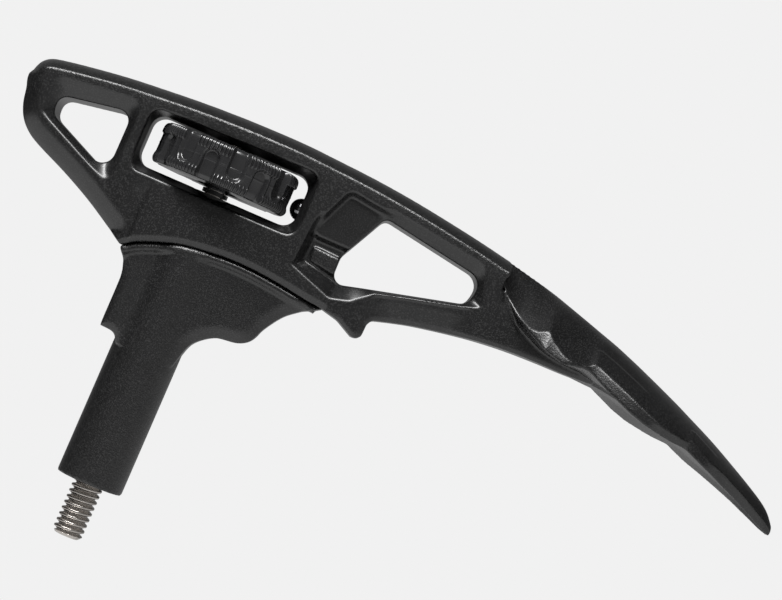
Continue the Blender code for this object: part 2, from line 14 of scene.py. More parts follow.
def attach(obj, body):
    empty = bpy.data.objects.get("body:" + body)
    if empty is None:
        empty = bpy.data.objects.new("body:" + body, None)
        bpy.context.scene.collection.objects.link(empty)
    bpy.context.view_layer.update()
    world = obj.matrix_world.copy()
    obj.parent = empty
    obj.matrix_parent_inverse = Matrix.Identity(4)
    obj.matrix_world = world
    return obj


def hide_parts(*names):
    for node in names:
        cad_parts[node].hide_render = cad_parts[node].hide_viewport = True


MM = 0.001

# Camera: eye and aim in millimetres, roll about the view line, lens on a 36 mm sensor.
CAMERA_EYE = (30.46, -522.0, 54.2)
CAMERA_AIM = (41.66, 0.0, 70.25)
CAMERA_ROLL_DEG = 23.4
CAMERA_LENS = 117.5

# Sizes shared with the frame.
THREAD_MAJOR_R = 3.175
THREAD_MINOR_R = 2.45
THREAD_PITCH = 1.27
STUD_LENGTH = 11.7
STUD_TIP_R = 2.5
SLEEVE_R = 7.0
HEAD_HALF_Y = 7.5
PLATE_HALF_Y = 5.2
GROOVE_HALF = 0.08
TONGUE_HEIGHT = 1.6
TONGUE_HALF_Y = 4.6
TONGUE_GAP = 0.3
TUBE_BORE_R = 4.3
WHEEL_SLOTS = 16
SLOT_REACH = 6.5
SLOT_HALF = 1.75
RIBS_PER_TURN = 112
RIB_HEIGHT = 0.4
WHEEL_SIDES = 1344
CROWN = 2.4
TAIL_ROLL = 4.0
TAIL_FALL = 3.2
WHEEL_R = 14.8
WHEEL_LOW, WHEEL_HIGH = 76.95, 85.45
WINDOW = (17.2, 75.2, 86.2, 2.8)
DETENT_Z = 79.8

# Rounded rim of the thumbwheel.
BEVEL_IN = 0.9
BEVEL_DOWN = 1.5

VOXEL = 0.26
LIP_SLOPE = 0.58

# Surroundings' brightness by direction, and the overhead light's power.
BACKDROP = 0.88
WORLD_BASE = 0.05
WORLD_FRONT = 0.10
WORLD_BELOW = 1.05
WORLD_BEHIND = 0.22
BEHIND_DIRECTION = (-0.1, 0.2, -0.97)
KEY_POWER = 7.8
FLECK = 0.020

GROOVE = [(-13.1, 58.5), (-9.7, 60.6), (-3.8, 62.8), (0.4, 63.7), (7.2, 64.5), (13.0, 64.5),
          (18.9, 64.0), (23.4, 63.4), (26.5, 63.0), (29.4, 62.75)]
HEAD_TOP = [(-43.85, 84.2), (-43.5, 85.4), (-42.8, 86.7), (-41.4, 87.8), (-39.0, 88.5),
            (-32.5, 89.6), (-25.2, 90.6),
            (-17.7, 91.3), (-10.2, 91.9), (-2.6, 92.3), (5.2, 92.5), (13.0, 92.5),
            (21.0, 92.1), (29.0, 91.6), (37.2, 90.8), (45.4, 89.7), (53.8, 88.4), (61.0, 87.1)]
# The neck's lower edge and the step where beam and neck end beside the blade.
NECK_STEP = [(61.6, 86.4), (61.7, 84.3), (61.2, 82.6), (61.4, 80.9), (62.8, 79.6), (64.8, 78.0),
             (66.6, 76.5), (68.6, 75.1), (71.5, 73.6), (75.5, 72.4), (80.0, 72.3), (86.0, 72.3)]
BEAM_BOTTOM = [(86.0, 70.5), (80.0, 70.2), (74.0, 70.15), (67.2, 69.9), (61.0, 69.3),
               (57.0, 68.7), (52.0, 67.8), (47.1, 66.8), (43.0, 65.7),
               (39.7, 64.7), (39.0, 63.6), (38.9, 60.9), (38.2, 60.1), (37.0, 60.0),
               (33.1, 62.0)]
TAIL_EDGE = [(-16.4, 60.6), (-22.6, 64.2), (-29.3, 67.5), (-36.5, 70.6), (-39.5, 72.4),
             (-41.5, 74.6), (-42.7, 77.3), (-43.3, 80.2), (-43.9, 82.2), (-43.9, 84.0)]
TAIL_WINDOW = [(-36.2, 81.5, 2.2), (-36.0, 77.4, 2.2), (-21.4, 70.7, 2.6), (-21.4, 84.1, 2.3)]
MAIN_WINDOW = [(34.1, 84.8, 1.6), (28.8, 74.2, 2.5), (28.9, 68.3, 2.0), (56.0, 75.3, 2.6),
               (57.2, 81.1, 3.0)]
# Outer edges of the dishes round the windows, on the flat side.
WHEEL_DISH = [(-17.9, 86.9, 2.4), (-17.9, 73.3, 2.4), (18.8, 73.5, 2.4), (18.7, 87.7, 2.4)]
TAIL_DISH = [(-38.5, 85.1, 2.4), (-38.2, 77.0, 1.2), (-20.0, 68.6, 1.4), (-20.0, 87.2, 2.4)]
MAIN_DISH = [(19.9, 68.8, 0.8), (20.6, 79.0, 8.0), (24.6, 88.4, 3.0), (56.6, 84.1, 3.0),
             (59.2, 75.6, 1.0), (37.9, 69.9, 2.0), (34.2, 66.5, 3.0), (29.9, 65.4, 1.5)]
PLATEAU = [(22.6, 76.4, 0.5), (22.9, 82.0, 4.0), (25.4, 87.0, 2.0), (38.0, 85.6, 1.0),
           (32.0, 76.4, 0.5)]
BLOCK = [(22.9, 73.8, 0.4), (23.2, 70.8, 0.4), (29.4, 69.7, 0.4), (29.0, 73.6, 0.4)]
FANG_FACE_X = 37.3
BAR_X = 38.7
BAR_EDGE = [(36.0, 68.4), (39.0, 70.1), (44.0, 71.6), (51.1, 73.4), (57.5, 75.1), (64.0, 78.0)]
CREASE = [(-12.3, 72.6), (-12.6, 66.3), (-12.5, 61.7), (-12.7, 58.5)]
WING = [(25.9, 60.8), (22.8, 58.2), (20.2, 54.3), (19.4, 52.3), (18.3, 50.7), (16.3, 49.6),
        (13.5, 49.2), (11.8, 48.8), (9.7, 47.5), (7.8, 45.5), (6.8, 42.5), (6.2, 40.0)]
FLANGE = [(-6.2, 40.0), (-7.2, 41.6), (-8.6, 42.0), (-10.1, 42.1), (-10.5, 42.8),
          (-10.55, 50.0), (-10.7, 53.5), (-11.5, 56.2)]

# Pick stations: x, spine z, half width at the shoulder, shoulder z, how far the rim below the
# shoulder leans outwards, rim z, underside z beside the keel, keel half width, keel z, arch power.
PICK = [
    (57.0, 87.8, 7.3, 85.5, 0.0, 83.4, 77.0, 5.0, 71.5, 2.0),
    (61.3, 87.0, 6.6, 82.6, 0.0, 82.2, 76.5, 5.0, 71.0, 1.1),
    (62.4, 86.85, 6.9, 80.6, 0.0, 80.2, 76.2, 5.0, 70.8, 1.0),
    (64.0, 86.5, 7.3, 79.2, 0.0, 78.7, 76.0, 5.0, 70.6, 1.0),
    (66.5, 85.95, 9.0, 77.1, 0.0, 76.6, 75.4, 5.0, 70.4, 1.1),
    (69.0, 85.4, 11.8, 75.7, 0.1, 75.0, 74.6, 5.0, 70.2, 1.25),
    (71.0, 84.9, 13.1, 75.6, 0.3, 74.0, 73.8, 5.0, 70.2, 1.4),
    (73.0, 84.4, 13.7, 76.8, 1.3, 73.0, 73.0, 5.0, 70.2, 1.6),
    (75.0, 83.8, 14.3, 74.8, 0.5, 72.3, 72.6, 5.0, 70.2, 1.6),
    (77.5, 83.1, 14.9, 73.2, 0.3, 71.6, 72.2, 4.8, 70.2, 1.5),
    (79.5, 82.5, 15.0, 72.7, 0.0, 71.9, 72.0, 4.7, 70.2, 1.45),
    (81.8, 81.85, 14.2, 73.0, -0.2, 72.4, 72.0, 4.4, 70.15, 1.5),
    (83.3, 81.35, 14.0, 73.2, -0.2, 72.4, 71.8, 4.2, 70.05, 1.7),
    (83.9, 81.15, 13.3, 74.5, 0.5, 72.2, 71.6, 4.1, 70.0, 1.9),
    (88.0, 79.95, 14.2, 72.9, 0.5, 70.3, 71.0, 3.6, 69.9, 2.0),
    (94.0, 77.8, 15.2, 70.7, 0.4, 67.9, 69.8, 2.8, 69.2, 2.0),
    (97.5, 76.45, 15.4, 69.3, 0.1, 66.9, 69.0, 2.3, 68.3, 2.0),
    (100.0, 75.5, 15.6, 68.3, -0.8, 66.5, 68.3, 2.0, 67.8, 1.9),
    (102.5, 74.5, 15.3, 67.8, -1.2, 66.1, 67.8, 1.8, 67.5, 1.9),
    (105.0, 73.5, 14.6, 67.5, -1.2, 65.9, 67.2, 1.6, 67.1, 1.9),
    (107.3, 72.45, 13.6, 67.3, -0.9, 65.8, 66.9, 1.5, 66.8, 1.9),
    (107.9, 72.2, 13.2, 68.1, 0.3, 65.5, 66.7, 1.5, 66.6, 2.0),
    (112.0, 70.45, 12.9, 66.1, 0.2, 63.9, 65.3, 1.4, 65.2, 2.0),
    (114.4, 69.35, 12.0, 65.1, -0.6, 63.1, 64.5, 1.3, 64.4, 2.0),
    (117.0, 68.1, 10.4, 64.3, -1.4, 62.2, 63.5, 1.2, 63.4, 1.9),
    (122.5, 65.35, 7.4, 62.1, -1.6, 60.2, 61.3, 1.0, 61.2, 1.8),
    (127.0, 62.95, 5.0, 60.0, -1.4, 58.3, 59.4, 0.8, 59.3, 1.8),
    (130.0, 61.0, 3.2, 58.6, -0.9, 57.0, 57.9, 0.5, 57.8, 1.8),
    (132.0, 58.2, 1.4, 57.3, -0.3, 56.4, 56.7, 0.3, 56.6, 2.0),
]
# The two raised pads along the blade: first and last x, and how proud they stand.
PADS = [(83.4, 97.5), (107.3, 115.2)]
PAD_LIFT = 0.35
ARCH_POINTS = 40


# ---------------------------------------------------------------- outlines and lofts

def rounded(corners, steps=6):
    """Outline of a polygon of (x, z, radius) corners with an arc at each corner."""
    outline = []
    for index, (x, z, radius) in enumerate(corners):
        here = Vector((x, z))
        back = (Vector(corners[index - 1][:2]) - here).normalized()
        ahead = (Vector(corners[(index + 1) % len(corners)][:2]) - here).normalized()
        half = back.angle(ahead) / 2
        centre = here + (back + ahead).normalized() * (radius / math.sin(half))
        start = here + back * (radius / math.tan(half)) - centre
        turn = start.angle_signed(here + ahead * (radius / math.tan(half)) - centre)
        for step in range(steps + 1):
            arm = start.copy()
            arm.rotate(Matrix.Rotation(-turn * step / steps, 2))
            outline.append((centre.x + arm.x, centre.y + arm.y))
    return outline


def spline(points, parts=5):
    """Smooth open run through points, each gap split into parts."""
    data = np.array(points, dtype=float)
    ends = np.vstack([2 * data[0] - data[1], data, 2 * data[-1] - data[-2]])
    run = []
    for index in range(1, len(ends) - 2):
        before, start, end, after = ends[index - 1:index + 3]
        for step in range(parts):
            t = step / parts
            run.append(tuple(0.5 * (2 * start + (end - before) * t
                                    + (2 * before - 5 * start + 4 * end - after) * t ** 2
                                    + (3 * start - before - 3 * end + after) * t ** 3)))
    run.append(tuple(data[-1]))
    return run


def loft(name, rings):
    """Closed mesh object through rings of points in mm."""
    bm = bmesh.new()
    loops = [[bm.verts.new(Vector(point) * MM) for point in ring] for ring in rings]
    for lower, upper in zip(loops, loops[1:]):
        for index in range(len(lower)):
            after = (index + 1) % len(lower)
            bm.faces.new((lower[index], lower[after], upper[after], upper[index]))
    bm.faces.new(loops[0])
    bm.faces.new(loops[-1])
    return finish_mesh(name, bm)


def finish_mesh(name, bm):
    """Turn a bmesh into a linked object with outward faces."""
    bmesh.ops.recalc_face_normals(bm, faces=bm.faces)
    mesh = bpy.data.meshes.new(name)
    bm.to_mesh(mesh)
    bm.free()
    obj = bpy.data.objects.new(name, mesh)
    bpy.context.scene.collection.objects.link(obj)
    return obj


def prism(name, outline, low_y, high_y):
    """Straight extrusion of an outline between two y planes."""
    return loft(name, [[(x, y, z) for x, z in outline] for y in (low_y, high_y)])


def cylinder(name, radius, start, end, sides=64):
    """Straight cylinder between two points in mm."""
    start, end = Vector(start), Vector(end)
    run = end - start
    bm = bmesh.new()
    bmesh.ops.create_cone(bm, cap_ends=True, segments=sides, radius1=radius * MM,
                          radius2=radius * MM, depth=run.length * MM)
    turn = Vector((0, 0, 1)).rotation_difference(run).to_matrix().to_4x4()
    bmesh.ops.transform(bm, matrix=Matrix.Translation((start + end) / 2 * MM) @ turn,
                        verts=bm.verts)
    return finish_mesh(name, bm)


# ---------------------------------------------------------------- mesh tools

def apply_modifiers(obj):
    """Replace an object's mesh with its evaluated one and drop the modifiers."""
    graph = bpy.context.evaluated_depsgraph_get()
    mesh = bpy.data.meshes.new_from_object(obj.evaluated_get(graph))
    obj.modifiers.clear()
    old = obj.data
    obj.data = mesh
    bpy.data.meshes.remove(old)


def combine(target, tools, operation):
    """Apply one Boolean for each tool and remove the tools."""
    for tool in tools:
        modifier = target.modifiers.new(tool.name, "BOOLEAN")
        modifier.operation = operation
        modifier.solver = "EXACT"
        modifier.object = tool
    apply_modifiers(target)
    for tool in tools:
        bpy.data.objects.remove(tool, do_unlink=True)


def join_loose(target, other):
    """Add another object's mesh to the target without a Boolean."""
    bm = bmesh.new()
    bm.from_mesh(target.data)
    bm.from_mesh(other.data)
    bm.to_mesh(target.data)
    bm.free()
    bpy.data.objects.remove(other, do_unlink=True)


def remesh(obj, voxel, smooth_rounds):
    """Merge overlapping shells into one even skin and relax it."""
    modifier = obj.modifiers.new("skin", "REMESH")
    modifier.mode = "VOXEL"
    modifier.voxel_size = voxel * MM
    modifier.use_smooth_shade = True
    relax = obj.modifiers.new("relax", "SMOOTH")
    relax.factor = 0.5
    relax.iterations = smooth_rounds
    apply_modifiers(obj)


def vertices(obj):
    """Vertex positions in millimetres."""
    data = np.empty(len(obj.data.vertices) * 3, dtype=np.float32)
    obj.data.vertices.foreach_get("co", data)
    return data.reshape(-1, 3).astype(float) / MM


def set_vertices(obj, points):
    """Write vertex positions given in millimetres."""
    obj.data.vertices.foreach_set("co", (points * MM).astype(np.float32).ravel())
    obj.data.update()


def paint(obj, name, values):
    """Store one number per vertex for the material to read."""
    layer = obj.data.attributes.new(name, "FLOAT", "POINT")
    layer.data.foreach_set("value", values.astype(np.float32))


def step_up(value, low, high):
    """Smooth step from 0 at low to 1 at high."""
    share = np.clip((value - low) / (high - low), 0.0, 1.0)
    return share * share * (3 - 2 * share)


# ---------------------------------------------------------------- the moulded head

def plate(name, outline, holes, half):
    """Flat slab with holes right through, symmetric about Y = 0."""
    curve = bpy.data.curves.new(name, "CURVE")
    curve.dimensions = "2D"
    curve.fill_mode = "BOTH"
    curve.extrude = half * MM
    for loop in [outline, *holes]:
        run = curve.splines.new("POLY")
        run.points.add(len(loop) - 1)
        for point, (x, z) in zip(run.points, loop):
            point.co = (x * MM, z * MM, 0.0, 1.0)
        run.use_cyclic_u = True
    source = bpy.data.objects.new(name, curve)
    bpy.context.scene.collection.objects.link(source)
    graph = bpy.context.evaluated_depsgraph_get()
    mesh = bpy.data.meshes.new_from_object(source.evaluated_get(graph))
    bm = bmesh.new()
    bm.from_mesh(mesh)
    bmesh.ops.remove_doubles(bm, verts=bm.verts, dist=1e-7)
    bmesh.ops.rotate(bm, verts=bm.verts, matrix=Matrix.Rotation(math.pi / 2, 3, "X"))
    bpy.data.objects.remove(source, do_unlink=True)
    bpy.data.curves.remove(curve)
    bpy.data.meshes.remove(mesh)
    return finish_mesh(name, bm)


def to_line(points, line):
    """Distance from each x, z point to an open run of points."""
    best = np.full(len(points), np.inf)
    for start, end in zip(np.array(line[:-1]), np.array(line[1:])):
        run = end - start
        share = np.clip((points - start) @ run / (run @ run), 0.0, 1.0)
        gap = points - start - share[:, None] * run
        best = np.minimum(best, np.hypot(gap[:, 0], gap[:, 1]))
    return best


def within(points, outline):
    """True for x, z points inside a closed outline."""
    inside = np.zeros(len(points), dtype=bool)
    for (x0, z0), (x1, z1) in zip(outline, outline[1:] + outline[:1]):
        if z0 != z1:
            spans = (points[:, 1] < z0) != (points[:, 1] < z1)
            cross = x0 + (points[:, 1] - z0) * (x1 - x0) / (z1 - z0)
            inside ^= spans & (points[:, 0] < cross)
    return inside


def depth_in(points, outline):
    """Distance to a closed outline, positive inside it."""
    gap = to_line(points, outline + outline[:1])
    return np.where(within(points, outline), gap, -gap)


def head_outline():
    """Side view of beam, tail and web, groove first."""
    groove = [(x, z + GROOVE_HALF) for x, z in spline(GROOVE)]
    bottom = list(reversed(BEAM_BOTTOM))
    return (groove + bottom[:6] + spline(bottom[6:]) + spline(list(reversed(NECK_STEP)))
            + spline(list(reversed(HEAD_TOP))) + spline(list(reversed(TAIL_EDGE))))


def wheel_opening():
    """Corners of the window the thumbwheel turns in."""
    half_x, low, high, corner = WINDOW
    return [(-half_x, high, corner), (-half_x, low, corner), (half_x, low, corner),
            (half_x, high, corner)]


def dish(points, outer, inner, fall, bend, lip=0.0):
    """How far a side sinks from a dish's edge, chamfered over width lip, to its window."""
    edge = np.clip(depth_in(points, rounded(outer)), 0.0, None)
    hole = np.clip(-depth_in(points, rounded(inner)), 0.001, None)
    chamfer = np.minimum(edge, lip)
    share = (edge - chamfer) / (edge - chamfer + hole)
    return LIP_SLOPE * chamfer + fall * share ** bend


def head_half_width(points):
    """Half width of the head's side at each x, z point."""
    x, z = points.T
    half = np.full(len(points), HEAD_HALF_Y)
    # Crown along the top and a fuller roll round the tail.
    crown = np.clip(to_line(points, spline(HEAD_TOP)) / CROWN, 0.0, 1.0)
    half = np.minimum(half, HEAD_HALF_Y * (0.04 + 0.96 * crown ** 0.5))
    roll = np.clip(to_line(points, spline(TAIL_EDGE)) / TAIL_ROLL, 0.0, 1.0)
    half = np.minimum(half, HEAD_HALF_Y - TAIL_FALL * (1 - roll) ** 1.8)
    # Lip over the groove.
    lip = np.clip(to_line(points, spline(GROOVE)) / 1.3, 0.0, 1.0)
    half -= 0.9 * (1 - lip) ** 1.15
    # Drafted bar under the main window, and the fang's face that steps down to it.
    below = np.interp(x, *np.array(BAR_EDGE).T) - z
    onto_bar = step_up(x, FANG_FACE_X, BAR_X) * step_up(below, -0.1, 0.5)
    onto_bar *= 1 - step_up(x, 54.0, 60.0)
    bottom = np.clip(to_line(points, spline(BEAM_BOTTOM[:-6])) / 4.5, 0.0, 1.0)
    half -= onto_bar * (0.55 + 0.9 * (1 - bottom))
    edge = np.clip(to_line(points, spline(BEAM_BOTTOM[:-6]) + BEAM_BOTTOM[-6:]) / 0.9, 0.0, 1.0)
    half -= 0.6 * (1 - edge) ** 2
    # Neck: its flank draws in under the blade, with a small facet beside the step.
    half -= 3.2 * step_up(x, 64.0, 84.0)
    step = to_line(points, spline(NECK_STEP))
    beside = step_up(x, 61.4, 62.6) * (1 - step_up(x, 66.5, 68.5))
    half -= 0.7 * np.clip(1 - step / 1.6, 0.0, 1.0) * beside
    # Crease between the smooth tail and the web.
    crease = np.interp(z, *np.array(CREASE)[::-1, ::-1].T)
    fade = 1 - step_up(z, 68.0, 73.5)
    half -= 0.55 * fade * step_up(x, crease - 4.5, crease) * (1 - step_up(x, crease, crease + 0.9))
    # Dishes round the windows.
    lower = 0.45 * (1 - step_up(z, 75.0, 77.5))
    half -= dish(points, WHEEL_DISH, wheel_opening(), 4.3, 0.8, lower)
    half -= dish(points, TAIL_DISH, TAIL_WINDOW, 1.7, 1.0)
    band = dish(points, MAIN_DISH, MAIN_WINDOW, 2.0, 1.0)
    # The recess beside the main window: steep wall, plateau, pocket and block.
    wall = depth_in(points, rounded(MAIN_DISH))
    west = 1 - step_up(x, 30.0, 36.5)
    low = 1 - step_up(z, 69.0, 70.6)
    floor = 3.2 * step_up(wall, 0.0, 2.2) * (1 - low) + 3.8 * np.clip(wall / 3.1, 0.0, 1.0) * low
    floor -= 1.4 * step_up(depth_in(points, rounded(PLATEAU)), -1.3, 0.0)
    block = depth_in(points, rounded(BLOCK))
    floor -= 0.5 * step_up(block, -0.2, 0.15)
    floor += LIP_SLOPE * np.clip(0.4 - block, 0.0, 0.4) * step_up(block, -0.2, 0.0) * (z < 71.5)
    return half - (band * (1 - west) + floor * west)


def head_grain(points):
    """Where the head's grain is coarse enough to glint: web, beam sides, scoops and pads."""
    x, y, z = points.T
    side = points[:, [0, 2]]
    crease = np.interp(z, *np.array(CREASE)[::-1, ::-1].T)
    web = step_up(x, crease - 0.5, crease + 1.5) * (1 - step_up(x, 19.0, 21.5))
    web *= 1 - step_up(z, 72.0, 76.0) * (1 - step_up(x, 17.0, 19.0))
    from_top = to_line(side, spline(HEAD_TOP))
    ridge = step_up(from_top, 1.4, 2.4) * (1 - step_up(from_top, 3.4, 6.0))
    ridge *= 1 - step_up(x, 61.0, 63.0)
    block = step_up(depth_in(side, rounded(BLOCK)), -0.3, 0.3)
    scoop = step_up(x, 64.0, 68.0) * (1 - step_up(x, 116.0, 119.0)) * step_up(np.abs(y), 7.5, 9.5)
    return np.clip(np.maximum.reduce([0.2 * web, ridge, block, 0.5 * scoop]), 0.0, 1.0)


def head_slab():
    """Beam, tail and web with their windows, crown, dishes and recess."""
    slab = plate("head_shell", head_outline(), [rounded(wheel_opening()), rounded(TAIL_WINDOW),
                                                rounded(MAIN_WINDOW)], HEAD_HALF_Y)
    slot = tongue("slot", -1.0, TONGUE_HEIGHT + TONGUE_GAP, TONGUE_HALF_Y + TONGUE_GAP)
    combine(slab, [slot, *head_bores()], "DIFFERENCE")
    remesh(slab, VOXEL, 0)
    points = vertices(slab)
    half = head_half_width(points[:, [0, 2]])
    points[:, 1] = np.clip(points[:, 1], -half, half)
    set_vertices(slab, points)
    return slab


def smoothed_stations():
    """Pick stations a few tenths apart with their polyline kinks relaxed."""
    table = np.array(PICK)
    xs = np.arange(table[0, 0], table[-1, 0] + 0.01, 0.4)
    columns = [np.interp(xs, table[:, 0], column) for column in table.T[1:]]
    passes = (12, 4, 2, 2, 2, 12, 10, 12, 6)
    for index, rounds in enumerate(passes):
        for _ in range(rounds):
            inner = (columns[index][:-2] + 2 * columns[index][1:-1] + columns[index][2:]) / 4
            columns[index][1:-1] = inner
    return np.column_stack([xs, *columns])


def pick_ring(row):
    """Closed cross section of the pick at one station."""
    x, spine_z, half, shoulder, lean, rim, under, keel_half, keel, power = row
    shares = np.linspace(0.0, 1.0, ARCH_POINTS + 1)[1:]
    is_pad = max(step_up(x, first, first + 0.5) * (1 - step_up(x, last - 2.5, last))
                 for first, last in PADS)
    lift = PAD_LIFT * is_pad * step_up(shares, 0.68, 0.74)
    arch = spine_z - (spine_z - shoulder + PAD_LIFT * is_pad) * shares ** power + lift
    side = [(0.0, spine_z)] + list(zip(half * shares, arch))
    inner = half + lean - 0.7
    side += [(half + lean * 0.9, rim + 0.35), (half + lean, rim), (inner, rim + 0.1)]
    under = max(under, keel + 0.15)
    side += [(inner * 0.55 + keel_half * 0.45, (rim + 0.1) * 0.35 + under * 0.65),
             (keel_half, under - 0.1),
             (keel_half * 0.8, keel + min(0.8, (under - keel) * 0.4))]
    loop = side + [(0.0, keel)] + [(-y, z) for y, z in reversed(side[1:])]
    return [(float(x), float(y), float(z)) for y, z in loop]


def head_bores():
    """Bores for the tube, the bushes and the detent."""
    return [
        cylinder("rod_bore", 3.1, (0, 0, 60.0), (0, 0, 77.0)),
        cylinder("tube_bore", TUBE_BORE_R, (0, 0, 60.0), (0, 0, 71.2)),
        cylinder("bush_bore", 4.8, (0, 0, 71.4), (0, 0, 77.0)),
        cylinder("pivot_bore", 3.2, (0, 0, 85.0), (0, 0, 90.2)),
        cylinder("detent_bore", 2.7, (15.0, 0, DETENT_Z), (34.0, 0, DETENT_Z)),
    ]


def head_shell():
    """The moulded head as one skin."""
    head = head_slab()
    rows = smoothed_stations()
    join_loose(head, loft("pick", [pick_ring(row) for row in rows]))
    remesh(head, VOXEL, 3)
    paint(head, "grain", head_grain(vertices(head)))
    return head


def adapter_half_width(points):
    """Half width of the adapter's plate, with the sleeve swelling through it."""
    x = points[:, 0]
    groove = to_line(points, spline(GROOVE))
    rim = to_line(points, spline(WING, 3))
    flange = to_line(points, spline(FLANGE, 3))
    half = np.full(len(points), PLATE_HALF_Y)
    half -= 1.5 * (1 - np.clip(rim / 3.2, 0.0, 1.0)) ** 2.2
    half -= 1.0 * (1 - np.clip(flange / 1.6, 0.0, 1.0)) ** 2
    round_part = np.sqrt(np.clip(SLEEVE_R ** 2 - x ** 2, 0.0, None))
    blend = np.clip(0.5 + (round_part - half) / 3.0, 0.0, 1.0)
    half = half + (round_part - half) * blend + 0.75 * blend * (1 - blend)
    # Raised band along the groove with a rounded lip.
    half += 0.9 * (1 - step_up(groove, 1.3, 2.3)) * np.clip((7.0 - half) / 1.8, 0.0, 1.0)
    return half - 0.4 * (1 - np.clip(groove / 0.7, 0.0, 1.0)) ** 1.1


def tongue(name, low, high, half):
    """Rib along the groove between two heights above it."""
    groove = spline(GROOVE)[2:-2]
    outline = [(x, z + low) for x, z in groove] + [(x, z + high) for x, z in reversed(groove)]
    return prism(name, outline, -half, half)


def adapter_shell():
    """Sleeve and plate under the head as one skin."""
    groove = [(x, z - GROOVE_HALF) for x, z in spline(GROOVE)]
    outline = groove + spline(WING, 3) + spline(FLANGE, 3)
    adapter = plate("adapter_shell", outline, [], SLEEVE_R)
    combine(adapter, [cylinder("tube_bore", TUBE_BORE_R, (0, 0, 16.2), (0, 0, 70.0))], "DIFFERENCE")
    remesh(adapter, VOXEL, 0)
    points = vertices(adapter)
    half = adapter_half_width(points[:, [0, 2]])
    points[:, 1] = np.clip(points[:, 1], -half, half)
    set_vertices(adapter, points)
    sleeve = cylinder("sleeve", SLEEVE_R, (0, 0, STUD_LENGTH), (0, 0, 48.0), 128)
    combine(sleeve, [
        cylinder("tube_bore", TUBE_BORE_R, (0, 0, 16.2), (0, 0, 70.0)),
        cylinder("bush_bore", 5.2, (0, 0, 10.0), (0, 0, 16.2)),
    ], "DIFFERENCE")
    join_loose(adapter, sleeve)
    join_loose(adapter, tongue("tongue", -1.5, TONGUE_HEIGHT, TONGUE_HALF_Y))
    remesh(adapter, VOXEL, 3)
    points = vertices(adapter)
    paint(adapter, "grain", 1 - 0.8 * step_up(points[:, 0], 7.0, 9.0)
          * (1 - step_up(to_line(points[:, [0, 2]], spline(GROOVE)), 2.0, 9.0)))
    return adapter


# ---------------------------------------------------------------- wheel and rod

def slot_depth(angle, z):
    """Round-ended slots in the wheel's rim and the raised lip round each, from 0 to 1."""
    pitch = 2 * math.pi / WHEEL_SLOTS
    number = np.floor(angle / pitch)
    across = (angle - (number + 0.5) * pitch) * WHEEL_R
    from_top = np.mod(number, 2) == 0
    height = np.where(from_top, WHEEL_HIGH - z, z - WHEEL_LOW)
    along = np.maximum(0.0, height - (SLOT_REACH - SLOT_HALF))
    distance = np.hypot(across, along)
    depth = 1 - 0.25 * step_up(height, 2.0, 6.4)
    return depth * (1 - step_up(distance, 1.3, 2.0)), np.exp(-((distance - 2.15) / 0.22) ** 2)


def rib_height(angle, z):
    """Fine axial ribs on both rim edges, from 0 to 1."""
    edge = np.minimum(WHEEL_HIGH - z, z - WHEEL_LOW)
    top = WHEEL_HIGH - z < z - WHEEL_LOW
    zone = np.where(top, 1 - step_up(edge, 2.1, 2.5), 1 - step_up(edge, 0.9, 2.4))
    wave = 0.5 + 0.5 * np.cos(angle * RIBS_PER_TURN)
    return zone * step_up(wave, 0.15, 0.8)


def thumbwheel_grip():
    """Knurled wheel as a fine turned skin."""
    sides = WHEEL_SIDES
    angle = np.arange(sides) * 2 * math.pi / sides
    profile = [(4.6, WHEEL_HIGH - 1.6), (4.6, WHEEL_HIGH), (9.0, WHEEL_HIGH),
               (12.4, WHEEL_HIGH)]
    for step in range(9):
        turn = math.pi / 2 * step / 8
        profile.append((WHEEL_R + BEVEL_IN * (math.sin(turn) - 1),
                        WHEEL_HIGH + BEVEL_DOWN * (math.cos(turn) - 1)))
    rows = 36
    for step in range(1, rows):
        profile.append((WHEEL_R, WHEEL_HIGH - BEVEL_DOWN
                        - (WHEEL_HIGH - WHEEL_LOW - 2 * BEVEL_DOWN) * step / rows))
    for step in range(9):
        turn = math.pi / 2 * step / 8
        profile.append((WHEEL_R + BEVEL_IN * (math.cos(turn) - 1),
                        WHEEL_LOW + BEVEL_DOWN * (1 - math.sin(turn))))
    profile += [(12.4, WHEEL_LOW), (4.6, WHEEL_LOW)]
    verts, faces = [], []
    for radius, z in profile:
        share = step_up(radius, WHEEL_R - 1.5, WHEEL_R - 0.95)
        slot, bead = slot_depth(angle, np.full(sides, z))
        rib = RIB_HEIGHT * rib_height(angle, np.full(sides, z)) * (1 - slot)
        seam = 0.08 * math.exp(-((z - (WHEEL_LOW + WHEEL_HIGH) / 2) / 0.12) ** 2)
        reach = radius + (rib + seam + 0.12 * bead - 0.9 * slot - RIB_HEIGHT) * share
        verts.append(np.column_stack([reach * np.cos(angle), reach * np.sin(angle),
                                      np.full(sides, z)]))
    points = np.vstack(verts) * MM
    count = len(profile)
    for row in range(count):
        after = (row + 1) % count
        for side in range(sides):
            turn = (side + 1) % sides
            faces.append((row * sides + side, after * sides + side, after * sides + turn,
                          row * sides + turn))
    mesh = bpy.data.meshes.new("thumbwheel_grip")
    mesh.from_pydata(points.tolist(), [], faces)
    mesh.shade_smooth()
    obj = bpy.data.objects.new("thumbwheel_grip", mesh)
    bpy.context.scene.collection.objects.link(obj)
    return obj


